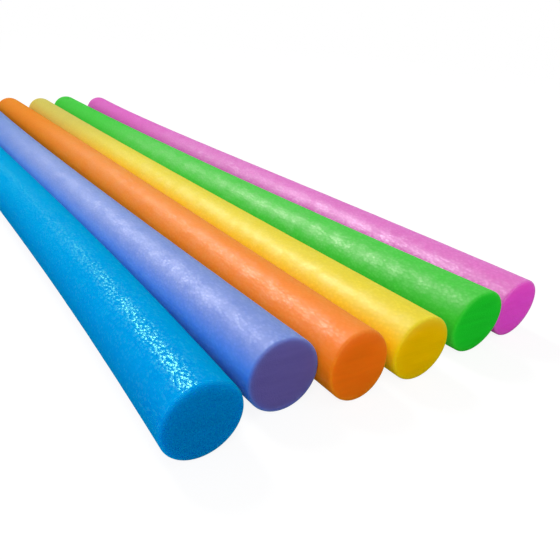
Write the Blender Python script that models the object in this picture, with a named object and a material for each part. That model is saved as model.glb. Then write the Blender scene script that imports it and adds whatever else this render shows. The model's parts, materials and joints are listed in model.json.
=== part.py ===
"""Six solid foam pool noodles lying side by side on the ground. Metres, +Z up.

The noodles run along Y with their near ends at -Y. The row goes from blue at -X to pink at +X.
"""
import math
from typing import NamedTuple

import bmesh
import bpy
from mathutils import Vector

# Driving dimensions
NOODLE_DIAMETER = 0.0635
NOODLE_LENGTH = 1.32
CUT_EDGE_ROUND = 0.0025
SETTLE_LENGTH = 0.030
TOUCH_GAP = 0.0003

# Counts of flats round a noodle, of rings along it, and of rings over each rounded cut edge
SIDES = 40
BODY_RINGS = 11
EDGE_RINGS = 3

FOAM_ROUGHNESS = 0.55
SMOOTH_UP_TO_DEGREES = 50

# Stations along the row, as shares of the length, and how far the first noodle's axis strays
# sideways at each, as shares of the diameter
STATION_SHARES = (0.0, 1 / 3, 2 / 3, 1.0)
STRAY_SHARES = (-0.03, 0.04, -0.04, 0.04)


class Noodle(NamedTuple):
    """One noodle. Its shares are of NOODLE_DIAMETER. The room to the next noodle, at each
    station, comes on top of TOUCH_GAP. The near cut is turned about +Z and tipped about +X."""

    name: str
    colour: tuple
    diameter_share: float
    setback_share: float
    turn_degrees: float
    tip_degrees: float
    room_shares: tuple = ()


NOODLES = (
    Noodle("noodle_blue", (0.00, 0.30, 0.80), 1.00, 0.02, 0.1, -3.0, (0.21, 0.01, 0.04, 0.08)),
    Noodle("noodle_violet", (0.21, 0.28, 0.76), 1.01, 0.32, -2.1, 1.0, (0.00, 0.16, 0.23, 0.09)),
    Noodle("noodle_orange", (1.00, 0.20, 0.02), 0.98, 0.07, 0.7, 3.7, (0.07, 0.01, 0.03, 0.17)),
    Noodle("noodle_yellow", (0.97, 0.70, 0.03), 0.98, 0.00, -2.2, -2.3, (0.33, 0.11, 0.02, 0.01)),
    Noodle("noodle_green", (0.05, 0.60, 0.05), 1.04, 0.12, -1.2, -4.9, (-0.01, 0.20, 0.20, 0.34)),
    Noodle("noodle_pink", (0.78, 0.12, 0.58), 1.00, 0.17, 0.8, -4.8),
)


def through_stations(values, share):
    """Value at this share of the length, on the one smooth cubic through a value at each station."""
    total = 0.0
    for at, value in zip(STATION_SHARES, values):
        weight = 1.0
        for other in STATION_SHARES:
            if other != at:
                weight *= (share - other) / (at - other)
        total += value * weight
    return total


def radius_of(noodle):
    return NOODLE_DIAMETER * noodle.diameter_share / 2


def flat_radius_of(noodle):
    """Distance from a noodle's axis to the middle of its flats."""
    return radius_of(noodle) * math.cos(math.pi / SIDES)


def axis_x(index, y):
    """Sideways place of a noodle's axis at y, counted from the row's near end."""
    share = y / NOODLE_LENGTH
    x = through_stations(STRAY_SHARES, share) * NOODLE_DIAMETER
    for left, right in zip(NOODLES[:index], NOODLES[1 : index + 1]):
        room = through_stations(left.room_shares, share) * NOODLE_DIAMETER
        x += flat_radius_of(left) + TOUCH_GAP + room + flat_radius_of(right)
    return x


def ring_plan():
    """Rings from the near end to the far end: place along the noodle, inset from its skin, and
    how much of the near cut's slant the ring takes."""
    edge = []
    for k in range(EDGE_RINGS):
        angle = math.pi / 2 * k / (EDGE_RINGS - 1)
        edge.append((CUT_EDGE_ROUND * (1 - math.cos(angle)), CUT_EDGE_ROUND * (1 - math.sin(angle))))
    clear = NOODLE_LENGTH - 2 * SETTLE_LENGTH
    near = [(along, inset, 1.0) for along, inset in edge]
    body = [(SETTLE_LENGTH + clear * k / (BODY_RINGS - 1), 0.0, 0.0) for k in range(BODY_RINGS)]
    far = [(NOODLE_LENGTH - along, inset, 0.0) for along, inset in reversed(edge)]
    return near + body + far


def start_of(index):
    """Where a noodle's near end stands: the point on the ground under its axis."""
    y = NOODLE_DIAMETER * NOODLES[index].setback_share
    return Vector((axis_x(index, y), y, 0.0))


def ring_points(index, along, inset, slant):
    """Points of one ring, counted from the noodle's start, with the flats lying at the bottom
    and at both sides."""
    noodle = NOODLES[index]
    start = start_of(index)
    slope_x = math.tan(math.radians(noodle.turn_degrees))
    slope_z = math.tan(math.radians(noodle.tip_degrees))
    bow = axis_x(index, start.y + along) - start.x
    points = []
    for k in range(SIDES):
        angle = 2 * math.pi * (k + 0.5) / SIDES
        across = (radius_of(noodle) - inset) * math.cos(angle)
        up = (radius_of(noodle) - inset) * math.sin(angle)
        y = along + slant * (slope_x * across + slope_z * up)
        points.append((bow + across, y, flat_radius_of(noodle) + up))
    return points


def foam(noodle):
    material = bpy.data.materials.new(noodle.name)
    material.use_nodes = True
    shader = material.node_tree.nodes["Principled BSDF"]
    shader.inputs["Base Color"].default_value = (*noodle.colour, 1.0)
    shader.inputs["Roughness"].default_value = FOAM_ROUGHNESS
    shader.inputs["Metallic"].default_value = 0.0
    material.diffuse_color = (*noodle.colour, 1.0)
    return material


def make_noodle(index):
    """A round rod along its own gently bowed axis, lying on one of its flats, with each end cut
    flat and the cut's edge softly rounded."""
    noodle = NOODLES[index]
    bm = bmesh.new()
    rings = [[bm.verts.new(p) for p in ring_points(index, *ring)] for ring in ring_plan()]
    for ring, following in zip(rings, rings[1:]):
        for k in range(SIDES):
            after = (k + 1) % SIDES
            bm.faces.new((ring[k], ring[after], following[after], following[k]))
    bm.faces.new(rings[0])
    bm.faces.new(rings[-1])
    bmesh.ops.recalc_face_normals(bm, faces=bm.faces)

    mesh = bpy.data.meshes.new(noodle.name)
    bm.to_mesh(mesh)
    bm.free()
    mesh.shade_smooth()
    mesh.set_sharp_from_angle(angle=math.radians(SMOOTH_UP_TO_DEGREES))
    mesh.materials.append(foam(noodle))
    piece = bpy.data.objects.new(noodle.name, mesh)
    piece.location = start_of(index)
    bpy.context.collection.objects.link(piece)
    return piece


def centre_on_origin(pieces):
    """Moves the row so that its box is centred over the origin. It already stands on Z = 0."""
    for axis in (0, 1):
        places = [piece.location[axis] + v.co[axis] for piece in pieces for v in piece.data.vertices]
        middle = (min(places) + max(places)) / 2
        for piece in pieces:
            piece.location[axis] -= middle


def main():
    for old in list(bpy.data.objects):
        bpy.data.objects.remove(old)
    centre_on_origin([make_noodle(index) for index in range(len(NOODLES))])


main()
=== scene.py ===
"""The looks of six solid foam pool noodles lying side by side: skins, cut faces, light and camera.

Metres, +Z up. The noodles run along Y with their near ends at -Y. Each one is rebuilt as a fine
mesh on the axis, radius and cuts of its own solid.
"""
import json
import math
from typing import NamedTuple

import bpy
import numpy as np
from mathutils import Matrix, Vector


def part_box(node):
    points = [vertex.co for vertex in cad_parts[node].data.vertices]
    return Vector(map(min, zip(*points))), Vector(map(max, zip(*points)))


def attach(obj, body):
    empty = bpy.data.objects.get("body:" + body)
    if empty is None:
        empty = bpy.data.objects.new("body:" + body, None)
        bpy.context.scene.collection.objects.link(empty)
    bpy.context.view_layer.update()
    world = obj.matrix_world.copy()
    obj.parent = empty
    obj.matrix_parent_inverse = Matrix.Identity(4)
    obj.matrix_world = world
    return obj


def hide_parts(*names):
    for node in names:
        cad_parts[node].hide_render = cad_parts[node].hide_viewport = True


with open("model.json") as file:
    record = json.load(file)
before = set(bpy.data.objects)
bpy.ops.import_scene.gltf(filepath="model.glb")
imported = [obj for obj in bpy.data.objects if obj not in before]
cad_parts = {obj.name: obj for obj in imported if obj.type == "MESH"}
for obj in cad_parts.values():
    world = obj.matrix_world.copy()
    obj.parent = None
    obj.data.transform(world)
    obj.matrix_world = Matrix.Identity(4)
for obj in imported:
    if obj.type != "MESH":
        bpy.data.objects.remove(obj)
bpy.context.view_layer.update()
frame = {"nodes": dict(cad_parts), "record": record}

# The photograph's camera, over the blue noodle's near end and looking along the row
CAMERA_PLACE = Vector((-0.3273, -0.9344, 0.2703))
CAMERA_YAW = math.radians(36.37)
CAMERA_PITCH = math.radians(23.83)
CAMERA_ROLL = math.radians(4.91)
CAMERA_LENS_MM = 36.37
CAMERA_SENSOR_MM = 36.0

WHITE = (1.0, 1.0, 1.0, 1.0)

# The even surround, the key lamp and the point that the panels face
SURROUND_STRENGTH = 0.38
KEY_STRENGTH = 1.6
KEY_SPREAD = math.radians(18)
KEY_FROM = Vector((-0.10, 0.70, 0.70))
PANELS_AIM = Vector((0.0, -0.35, 0.06))

# The floor: its size, how far below the noodles it lies, its grey in bounced light, and how it shows
FLOOR_SIDE = 12.0
FLOOR_DROP = 0.0002
FLOOR_BOUNCE = (0.50, 0.50, 0.50, 1.0)
FLOOR_SHADE_SHARE = 0.16
FLOOR_GLOW = 1.05

# How a noodle's solid is read
RING_DECIMALS = 5
WHOLE_RING_SHARE = 0.9
AXIS_DEGREE = 3

# The noodles' fine meshes
SIDES = 96
RING_STEP = 0.004
RIM_RINGS = 6
CAP_RINGS = 12
CAP_INSET_SHARE = 0.98
RIM_ROUND = 0.0025
SETTLE_LENGTH = 0.030

# The skin's slow unevenness, a sum of waves that are shallower as they get shorter
SWELL_DEPTH = 0.00035
SWELL_WAVES = 14
SWELL_LONGEST = 0.120
SWELL_SHORTEST = 0.014
SWELL_MOST_LOBES = 5
SWELL_FALL = 0.6

# How light meets the foam: the share that the skin mirrors, and how far the rest gets in
SHINE_SHARE = 0.050
BODY_ROUGHNESS = 0.8
GLOW_WEIGHT = 1.0
GLOW_REACH = 0.012

# How far each seed moves the patterns, and how many finer layers their noise has
PATTERN_STEPS = (1.7, 2.3, 3.1)
FINE_DETAIL = 2.0
BLOTCH_DETAIL = 3.0

# Sizes and heights of what shows on the skin
PEBBLE_SIZE = 0.0026
PEBBLE_STRETCH = 1.4
PEBBLE_CURVE = 2.0
SOFT_HEIGHT_SHARE = 0.25
GRAIN_SIZE = 0.0011
GRAIN_CONTRAST = 0.6
GRAIN_HEIGHT_SHARE = 0.4
MOTTLE_SIZE = 0.013
MOTTLE_DEPTH = 0.00009
BLOTCH_SIZE = 0.045
NICK_SPACING = 0.060
NICK_CORE = 0.0012
NICK_RADIUS = 0.0027

# How the pebbles and the mottle break up the shine
GLINT_FULL_AT = 0.25
GLINT_GONE_AT = 0.70
GLINT_LEAST = 0.3
GLINT_SPREAD = 1.4
MOTTLE_FROM = 0.3
MOTTLE_ABOVE = 0.7
MOTTLE_SHINE_SPREAD = 0.6
ROUGHNESS_SPREAD = 0.10

# How far the colours darken and pale, and what they follow: random blotches, and pebbles whose gaps
# take painted shade
SKIN_TONES = (0.92, 1.10)
BLOTCH_TONE_SHARE = 0.5
PEBBLE_TONE_AND_PAINTED_SHADE_SHARE = 0.35
CUT_TONES = (0.88, 1.12)

# Where up a side the painted sheen of the upper side takes over, and where along it the skin dulls
# and takes on painted far-end light
PAINTED_SHEEN_FROM = 0.036
PAINTED_SHEEN_ABOVE = 0.060
DULL_AND_PAINTED_LIGHT_FROM = -0.05
DULL_AND_PAINTED_LIGHT_ABOVE = 0.40
DULL_SHINE_LOSS = 0.75
PAINTED_FAR_LIGHT_SHARE = 0.6

# Sizes and heights of what shows on the cuts
PIT_SIZE = 0.0011
PIT_DEPTH = 0.00012
BLADE_MARK_SIZE = 0.006
BLADE_MARK_SQUEEZE = (0.12, 1.0, 1.0)
BLADE_MARK_HEIGHT_SHARE = 2.0

# Places of a Mix node's colour sockets, whose names its number sockets share
MIX_FIRST = 6
MIX_SECOND = 7
MIX_RESULT = 2


class Foam(NamedTuple):
    """One noodle's foam. Its colours are in linear light: along the upper side, paler with a painted
    sheen; low on the sides, deeper, and on the violet, yellow and green with painted light
    bounced from their neighbours; towards the far end, with painted light that changes along the
    noodle; on the cut and in the shine. Then come how rough the shine is, how high the skin's
    pebbles stand, the share of the shine that is lost in the gaps between them, and how far in
    from the rim the skin's look fades out."""

    colour: str
    top: tuple
    sides: tuple
    far: tuple
    cut: tuple
    shine: tuple
    roughness: float
    pebble_height: float
    gaps: float
    rim_fade: float


# Upper colours are a paler painted sheen; violet, yellow and green sides hold painted bounce light
FOAMS = (
    Foam("blue", top=(0.000, 0.300, 0.725), sides=(0.000, 0.225, 0.660), far=(0.000, 0.290, 0.730),
         cut=(0.000, 0.195, 0.530), shine=(0.12, 0.37, 0.16), roughness=0.30,
         pebble_height=0.00021, gaps=0.95, rim_fade=0.0055),
    Foam("violet", top=(0.155, 0.240, 0.615), sides=(0.050, 0.255, 0.880), far=(0.150, 0.250, 0.680),
         cut=(0.128, 0.105, 0.350), shine=(0.53, 0.52, 0.57), roughness=0.55,
         pebble_height=0.00007, gaps=0.35, rim_fade=0.0018),
    Foam("orange", top=(1.000, 0.230, 0.028), sides=(1.000, 0.215, 0.006), far=(1.000, 0.200, 0.012),
         cut=(0.860, 0.160, 0.005), shine=(0.32, 0.37, 0.33), roughness=0.50,
         pebble_height=0.00009, gaps=0.4, rim_fade=0.0045),
    Foam("yellow", top=(0.780, 0.620, 0.035), sides=(0.960, 0.600, 0.003), far=(0.520, 0.450, 0.120),
         cut=(0.860, 0.500, 0.000), shine=(0.42, 0.43, 0.33), roughness=0.53,
         pebble_height=0.00004, gaps=0.2, rim_fade=0.0045),
    Foam("green", top=(0.056, 0.545, 0.050), sides=(0.036, 0.640, 0.030), far=(0.045, 0.580, 0.045),
         cut=(0.011, 0.630, 0.024), shine=(0.51, 0.48, 0.44), roughness=0.53,
         pebble_height=0.00008, gaps=0.4, rim_fade=0.0025),
    Foam("pink", top=(0.700, 0.150, 0.500), sides=(0.760, 0.120, 0.540), far=(0.780, 0.100, 0.520),
         cut=(1.000, 0.072, 0.680), shine=(0.60, 0.59, 0.66), roughness=0.52,
         pebble_height=0.00010, gaps=0.45, rim_fade=0.0030),
)


class Panel(NamedTuple):
    """A soft oval lamp, whose light shows only in the foam's shine or only in its body."""

    name: str
    watts: float
    width: float
    height: float
    place: Vector
    in_shine: bool


# One on the camera's side, a small one over the row, and a tall one beyond its far ends
PANELS = (
    Panel("fill_panel", 45, 1.60, 1.60, Vector((-1.80, -2.40, 1.85)), in_shine=False),
    Panel("shine_panel", 44, 0.22, 0.22, Vector((-0.24, 0.30, 0.95)), in_shine=True),
    Panel("streak_panel", 40, 0.44, 1.20, Vector((-0.28, 4.15, 2.05)), in_shine=True),
)


class Wire:
    """A socket of a node tree. Operators on it add Math nodes, and node() adds any other."""

    def __init__(self, tree, socket=None):
        self.tree = tree
        self.socket = socket

    def node(self, kind, settings=None, inputs=None, output=0):
        """The output of a new node, whose settings are set first, and then its sockets."""
        made = self.tree.nodes.new(kind)
        for name, value in (settings or {}).items():
            setattr(made, name, value)
        for name, value in (inputs or {}).items():
            if isinstance(value, Wire):
                self.tree.links.new(value.socket, made.inputs[name])
            else:
                made.inputs[name].default_value = value
        return Wire(self.tree, made.outputs[output] if made.outputs else None)

    def math(self, operation, first, second):
        return self.node("ShaderNodeMath", {"operation": operation}, {0: first, 1: second})

    def other(self, name):
        """Another output of the node that this one comes from."""
        return Wire(self.tree, self.socket.node.outputs[name])

    def __add__(self, other):
        return self.math("ADD", self, other)

    def __radd__(self, other):
        return self.math("ADD", other, self)

    def __sub__(self, other):
        return self.math("SUBTRACT", self, other)

    def __rsub__(self, other):
        return self.math("SUBTRACT", other, self)

    def __mul__(self, other):
        return self.math("MULTIPLY", self, other)

    def __rmul__(self, other):
        return self.math("MULTIPLY", other, self)

    def rise(self, low, high):
        """0 below low, 1 above high, and a smooth rise between them."""
        settings = {"interpolation_type": "SMOOTHSTEP"}
        return self.node("ShaderNodeMapRange", settings,
                         {"Value": self, "From Min": low, "From Max": high})


def clear_tree(owner):
    """A wire with no socket yet, in the emptied node tree of a material or a world."""
    owner.use_nodes = True
    owner.node_tree.nodes.clear()
    return Wire(owner.node_tree)


def drawn_out(wire, place, squeeze):
    """The place squeezed by these shares, which draws a pattern out along the axes."""
    return wire.node("ShaderNodeVectorMath", {"operation": "MULTIPLY"}, {0: place, 1: squeeze})


def noise(wire, place, size, detail, contrast=0.5):
    """Noise from 0 to 1 with features of about this size. Contrast is its finer detail's strength."""
    inputs = {"Vector": place, "Scale": 1 / size, "Detail": detail, "Roughness": contrast}
    return wire.node("ShaderNodeTexNoise", None, inputs)


def cells(wire, place, size):
    """Distance from the nearest of many scattered points, as a share of how far they lie apart."""
    return wire.node("ShaderNodeTexVoronoi", None, {"Vector": place, "Scale": 1 / size})


def tinted(wire, colour, tones, amount):
    """The colour times a grey that runs from the first tone to the second with amount."""
    darker, paler = tones
    grey = amount * (paler - darker) + darker
    return wire.node("ShaderNodeVectorMath", {"operation": "SCALE"}, {0: colour, "Scale": grey})


def mixed(wire, first, second, amount):
    """The first colour where amount is 0, and the second where it is 1."""
    first, second = ((*each, 1.0) if isinstance(each, tuple) else each for each in (first, second))
    return wire.node("ShaderNodeMix", {"data_type": "RGBA"},
                     {0: amount, MIX_FIRST: first, MIX_SECOND: second}, output=MIX_RESULT)


def bumped(wire, height):
    """A normal for this relief, whose height is in metres."""
    return wire.node("ShaderNodeBump", None, {"Height": height, "Distance": 1.0, "Strength": 1.0})


class Patterns:
    """What varies over one noodle's foam. The seed moves it, so that no two noodles match."""

    def __init__(self, wire, seed):
        own = wire.node("ShaderNodeTexCoord", output="Object")
        up = wire.node("ShaderNodeSeparateXYZ", None, {0: own}, output="Z")
        self.cut = wire.node("ShaderNodeAttribute", {"attribute_name": "cut"}, output="Fac")
        # Where the upper side's painted sheen takes over from the sides' colour
        self.top = up.rise(PAINTED_SHEEN_FROM, PAINTED_SHEEN_ABOVE)
        # Where the shine fades and the far colour's painted light takes over along the noodle
        self.dulling_and_painted_far_light = up.other("Y").rise(DULL_AND_PAINTED_LIGHT_FROM, DULL_AND_PAINTED_LIGHT_ABOVE)

        shift = tuple(seed * step for step in PATTERN_STEPS)
        place = wire.node("ShaderNodeVectorMath", {"operation": "ADD"}, {0: own, 1: shift})
        along = drawn_out(wire, place, (1.0, 1 / PEBBLE_STRETCH, 1.0))
        across = drawn_out(wire, place, BLADE_MARK_SQUEEZE)
        self.blotch = noise(wire, place, BLOTCH_SIZE, BLOTCH_DETAIL)
        self.grain = noise(wire, place, GRAIN_SIZE, FINE_DETAIL, GRAIN_CONTRAST)
        self.mottle = noise(wire, along, MOTTLE_SIZE, FINE_DETAIL)
        self.blade_marks = noise(wire, across, BLADE_MARK_SIZE, FINE_DETAIL)
        self.pits = cells(wire, place, PIT_SIZE)
        nick_reach = (NICK_CORE / NICK_SPACING, NICK_RADIUS / NICK_SPACING)
        self.nicks = 1 - cells(wire, place, NICK_SPACING).rise(*nick_reach)

        # A pebble's random colour, which the maths turns grey, sets how brightly it glints
        pebble = cells(wire, along, PEBBLE_SIZE)
        pebble_glint = pebble.other("Color") * GLINT_SPREAD + GLINT_LEAST
        self.domes = 1 - pebble * pebble * PEBBLE_CURVE
        # In the skin's colour this glint also paints shade into the gaps between the pebbles
        self.glint = (1 - pebble.rise(GLINT_FULL_AT, GLINT_GONE_AT)) * pebble_glint


def skin_colour(wire, foam, patterns):
    """The sides' colour, with its painted bounce light, which turns into the upper side's painted
    sheen and partly into the far end's painted light, blotched, and with painted shade in the
    gaps between the pebbles."""
    colour = mixed(wire, foam.sides, foam.top, patterns.top)
    # The far colour mixed in here is painted light that changes along the noodle
    colour = mixed(wire, colour, foam.far, patterns.dulling_and_painted_far_light * PAINTED_FAR_LIGHT_SHARE)
    # Pebble gaps take painted shade here, and each pebble's own tone is random
    tone = patterns.blotch * BLOTCH_TONE_SHARE + patterns.glint * PEBBLE_TONE_AND_PAINTED_SHADE_SHARE
    return tinted(wire, colour, SKIN_TONES, tone)


def skin_relief(foam, patterns, pebble_share):
    """The height of the skin: pebbles at this share of their own height, grain, nicks, mottle."""
    worn = (patterns.grain * GRAIN_HEIGHT_SHARE - patterns.nicks) * foam.pebble_height
    pebbles = patterns.domes * (foam.pebble_height * pebble_share)
    return worn + patterns.mottle * MOTTLE_DEPTH + pebbles


def cut_relief(patterns):
    """The height of the cut: pits, grain and the blade's marks."""
    marks = patterns.blade_marks * BLADE_MARK_HEIGHT_SHARE
    return (patterns.pits + patterns.grain + marks) * PIT_DEPTH


def foam_body(wire, foam, patterns):
    """The foam without its shine, which light enters a little way."""
    skin = skin_colour(wire, foam, patterns)
    cut = tinted(wire, foam.cut, CUT_TONES, patterns.blade_marks)
    relief = skin_relief(foam, patterns, SOFT_HEIGHT_SHARE)
    return wire.node("ShaderNodeBsdfPrincipled", None, {
        "Base Color": mixed(wire, skin, cut, patterns.cut),
        "Roughness": BODY_ROUGHNESS,
        "Specular IOR Level": 0.0,
        "Subsurface Weight": GLOW_WEIGHT,
        "Subsurface Radius": (1.0, 1.0, 1.0),
        "Subsurface Scale": GLOW_REACH,
        "Normal": bumped(wire, relief + (cut_relief(patterns) - relief) * patterns.cut),
    })


def foam_shine(wire, foam, patterns):
    """The skin's satin shine."""
    smoothest = foam.roughness - ROUGHNESS_SPREAD / 2
    return wire.node("ShaderNodeBsdfAnisotropic", None, {
        "Color": (*foam.shine, 1.0),
        "Roughness": patterns.blotch * ROUGHNESS_SPREAD + smoothest,
        "Normal": bumped(wire, skin_relief(foam, patterns, 1.0)),
    })


def shine_share(foam, patterns):
    """The share of the light that the foam mirrors. The cuts mirror none, and the duller far part,
    the gaps between the pebbles and the mottle's low places mirror less."""
    pebbled = patterns.glint * foam.gaps + (1 - foam.gaps)
    mottled = patterns.mottle.rise(MOTTLE_FROM, MOTTLE_ABOVE) * MOTTLE_SHINE_SPREAD
    shining = pebbled * (mottled + (1 - MOTTLE_SHINE_SPREAD / 2))
    return (1 - patterns.cut) * (1 - patterns.dulling_and_painted_far_light * DULL_SHINE_LOSS) * shining * SHINE_SHARE


def foam_material(foam, seed):
    """Closed-cell foam. The skin has a weak shine, broken up by small pebbles and a few nicks, and
    fades over the rim into the matt, pitted cut."""
    material = bpy.data.materials.new(f"foam_{foam.colour}")
    wire = clear_tree(material)
    patterns = Patterns(wire, seed)
    body = foam_body(wire, foam, patterns)
    shine = foam_shine(wire, foam, patterns)
    share = shine_share(foam, patterns)
    both = wire.node("ShaderNodeMixShader", None, {0: share, 1: body, 2: shine})
    wire.node("ShaderNodeOutputMaterial", None, {"Surface": both})
    return material


class Cut(NamedTuple):
    """A flat cut: its middle, and how far it leans along Y for a step across or up."""

    middle: Vector
    lean_across: float
    lean_up: float


def cut_of(colour, end):
    """The cut at one end of a noodle, as its mount gives it."""
    mount = next(m for m in frame["record"]["mounts"] if m["name"] == f"{end}_{colour}")
    out = Vector(mount["axis"])
    return Cut(Vector(mount["pos_m"]), -out.x / out.y, -out.z / out.y)


def axis_of(node):
    """The radius and the axis height of a noodle, and its axis's sideways place as a polynomial in
    Y, all read from the rings of its solid."""
    points = np.array([v.co for v in frame["nodes"][node].data.vertices])
    low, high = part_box(node)
    height = (high.z - low.z) / 2
    places = np.round(points[:, 1], RING_DECIMALS)
    ring_places, ring_middles, radius = [], [], 0.0
    for y in np.unique(places):
        ring = points[places == y]
        if np.ptp(ring[:, 2]) > WHOLE_RING_SHARE * 2 * height:
            middle = (ring[:, 0].min() + ring[:, 0].max()) / 2
            ring_places.append(y)
            ring_middles.append(middle)
            radius = max(radius, np.hypot(ring[:, 0] - middle, ring[:, 2] - height).max())
    return radius, height, np.polyfit(ring_places, ring_middles, AXIS_DEGREE)


def swell(angle, y, seed):
    """The skin's slow unevenness, from 0 to 1, as a sum of waves along and round the noodle."""
    draw = np.random.default_rng(seed)
    total = np.zeros(np.broadcast(angle, y).shape)
    weight = 0.0
    for _ in range(SWELL_WAVES):
        length = SWELL_SHORTEST * (SWELL_LONGEST / SWELL_SHORTEST) ** draw.random()
        lobes = draw.integers(0, SWELL_MOST_LOBES + 1)
        phase = draw.random() * 2 * math.pi
        turn = draw.choice((-1.0, 1.0))
        share = (length / SWELL_LONGEST) ** SWELL_FALL
        total += share * np.sin(2 * math.pi * y / length + turn * lobes * angle + phase)
        weight += share
    return 0.5 + 0.5 * total / weight


def ring_steps(radius, length):
    """How far along the noodle each ring lies, from the middle of the near cut to the middle of
    the far one, and how far in from the skin."""
    arc = np.linspace(0, math.pi / 2, RIM_RINGS)
    arc_along = RIM_ROUND * (1 - np.cos(arc))
    arc_inset = RIM_ROUND * (1 - np.sin(arc))
    body = np.linspace(RIM_ROUND, length - RIM_ROUND, round(length / RING_STEP))[1:-1]
    cap = np.geomspace(radius * CAP_INSET_SHARE, RIM_ROUND, CAP_RINGS)[:-1]
    along = np.concatenate([0 * cap, arc_along, body, length - arc_along[::-1], length + 0 * cap])
    inset = np.concatenate([cap, arc_inset, 0 * body, arc_inset[::-1], cap[::-1]])
    return along, inset


def noodle_rings(node, foam, seed):
    """The points of every ring, as an array of rings by sides, and how much of the cut's look each
    ring takes."""
    radius, height, axis = axis_of(node)
    near = cut_of(foam.colour, "near_end")
    far = cut_of(foam.colour, "far_end")
    length = far.middle.y - near.middle.y
    along, inset = ring_steps(radius, length)
    angle = 2 * math.pi * (np.arange(SIDES) + 0.5) / SIDES

    along = along[:, None]
    skin = np.clip(1 - inset / RIM_ROUND, 0, 1)[:, None]
    reach = (radius - inset)[:, None] - SWELL_DEPTH * swell(angle[None, :], along, seed) * skin
    across = reach * np.cos(angle)
    up = reach * np.sin(angle)
    y = near.middle.y + along
    for cut, from_cut in ((near, along), (far, length - along)):
        share = np.clip((SETTLE_LENGTH - from_cut) / (SETTLE_LENGTH - RIM_ROUND), 0, 1)
        y = y + share * (cut.lean_across * across + cut.lean_up * up)
    x = np.polyval(axis, near.middle.y + along) + across
    z = np.maximum(height + up, 0.0)
    return np.stack(np.broadcast_arrays(x, y, z), axis=-1), 1 - np.exp(-inset / foam.rim_fade)


def noodle_faces(count):
    """The faces of a closed noodle with this many rings of points. The middles of its near and far
    cuts are the two points after them."""
    faces = []
    for ring in range(count - 1):
        for side in range(SIDES):
            after = (side + 1) % SIDES
            base, above = ring * SIDES, (ring + 1) * SIDES
            faces.append((above + side, above + after, base + after, base + side))
    far_ring = (count - 1) * SIDES
    near_middle, far_middle = count * SIDES, count * SIDES + 1
    for side in range(SIDES):
        after = (side + 1) % SIDES
        faces.append((near_middle, side, after))
        faces.append((far_middle, far_ring + after, far_ring + side))
    return faces


def make_noodle(foam, seed):
    """One noodle as a fine closed mesh, on its own body and in place of its solid."""
    node = f"noodle_{foam.colour}"
    rings, cuts = noodle_rings(node, foam, seed)
    middles = [rings[0].mean(axis=0), rings[-1].mean(axis=0)]
    points = np.concatenate([rings.reshape(-1, 3), middles])
    mesh = bpy.data.meshes.new(f"{node}_foam")
    mesh.from_pydata(points.tolist(), [], noodle_faces(len(rings)))
    mesh.materials.append(foam_material(foam, seed))
    mesh.attributes.new("cut", "FLOAT", "POINT").data.foreach_set(
        "value", np.append(np.repeat(cuts, SIDES), (1.0, 1.0)))
    mesh.shade_smooth()
    mesh.update()

    piece = bpy.data.objects.new(f"foam_{foam.colour}", mesh)
    bpy.context.scene.collection.objects.link(piece)
    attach(piece, foam.colour)
    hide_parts(node)


def add_camera():
    """The photograph's camera."""
    data = bpy.data.cameras.new("photo_camera")
    data.sensor_width = CAMERA_SENSOR_MM
    data.lens = CAMERA_LENS_MM
    camera = bpy.data.objects.new("photo_camera", data)
    turn = Matrix.Rotation(-CAMERA_YAW, 4, "Z")
    tilt = Matrix.Rotation(math.pi / 2 - CAMERA_PITCH, 4, "X")
    roll = Matrix.Rotation(CAMERA_ROLL, 4, "Z")
    camera.matrix_world = Matrix.Translation(CAMERA_PLACE) @ turn @ tilt @ roll
    bpy.context.scene.collection.objects.link(camera)
    bpy.context.scene.camera = camera


def shows_backdrop(wire):
    """1 for a ray from the camera, and for one that a shiny or clear surface sends on."""
    camera = wire.node("ShaderNodeLightPath", output="Is Camera Ray")
    sent_on = camera.other("Is Glossy Ray") + camera.other("Is Transmission Ray")
    return (camera + sent_on).rise(0.0, 1.0)


def add_lamp(lamp, place, back):
    """A holder with the lamp at this place, whose back is turned this way."""
    holder = bpy.data.objects.new(lamp.name, lamp)
    holder.location = place
    holder.rotation_euler = back.to_track_quat("Z", "Y").to_euler()
    bpy.context.scene.collection.objects.link(holder)
    return holder


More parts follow.
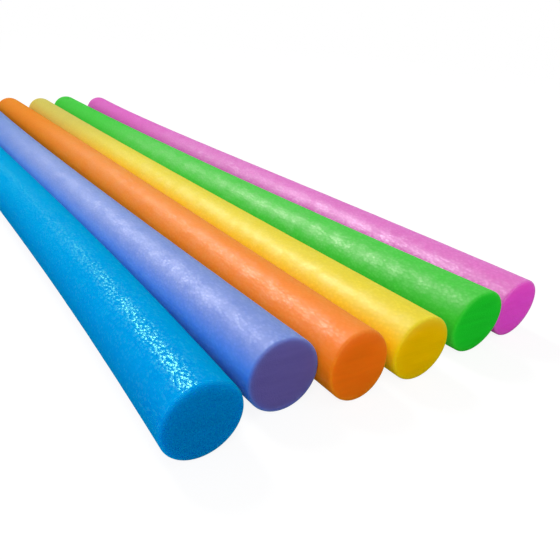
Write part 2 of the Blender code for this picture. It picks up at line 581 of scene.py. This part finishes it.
def add_light():
    """The even surround, which shows as plain white, a broad key lamp high behind the noodles' far
    ends, and the panels."""
    world = bpy.data.worlds.new("studio")
    bpy.context.scene.world = world
    wire = clear_tree(world)
    strength = shows_backdrop(wire) * (1 - SURROUND_STRENGTH) + SURROUND_STRENGTH
    surround = wire.node("ShaderNodeBackground", None, {"Color": WHITE, "Strength": strength})
    wire.node("ShaderNodeOutputWorld", None, {"Surface": surround})

    key = bpy.data.lights.new("key_lamp", "SUN")
    key.energy = KEY_STRENGTH
    key.angle = KEY_SPREAD
    add_lamp(key, KEY_FROM, KEY_FROM).visible_glossy = False
    for panel in PANELS:
        lamp = bpy.data.lights.new(panel.name, "AREA")
        lamp.shape = "ELLIPSE"
        lamp.energy = panel.watts
        lamp.size = panel.width
        lamp.size_y = panel.height
        holder = add_lamp(lamp, panel.place, panel.place - PANELS_AIM)
        holder.visible_camera = False
        holder.visible_diffuse = not panel.in_shine
        holder.visible_glossy = panel.in_shine


def add_floor():
    """A plain white floor that keeps a light shadow."""
    half = FLOOR_SIDE / 2
    mesh = bpy.data.meshes.new("floor")
    corners = [(-half, -half), (half, -half), (half, half), (-half, half)]
    mesh.from_pydata([(x, y, -FLOOR_DROP) for x, y in corners], [], [(0, 1, 2, 3)])
    material = bpy.data.materials.new("floor")
    wire = clear_tree(material)
    shown = wire.node("ShaderNodeBsdfDiffuse", None, {"Color": WHITE})
    bounce = wire.node("ShaderNodeBsdfDiffuse", None, {"Color": FLOOR_BOUNCE})
    white = wire.node("ShaderNodeEmission", None, {"Strength": FLOOR_GLOW})
    pale = wire.node("ShaderNodeMixShader", None, {0: 1 - FLOOR_SHADE_SHARE, 1: shown, 2: white})
    both = wire.node("ShaderNodeMixShader", None, {0: shows_backdrop(wire), 1: bounce, 2: pale})
    wire.node("ShaderNodeOutputMaterial", None, {"Surface": both})
    mesh.materials.append(material)
    floor = bpy.data.objects.new("floor", mesh)
    bpy.context.scene.collection.objects.link(floor)


add_camera()
for number, noodle_foam in enumerate(FOAMS, start=1):
    make_noodle(noodle_foam, number)
add_light()
add_floor()
bpy.context.scene.view_settings.view_transform = "Standard"
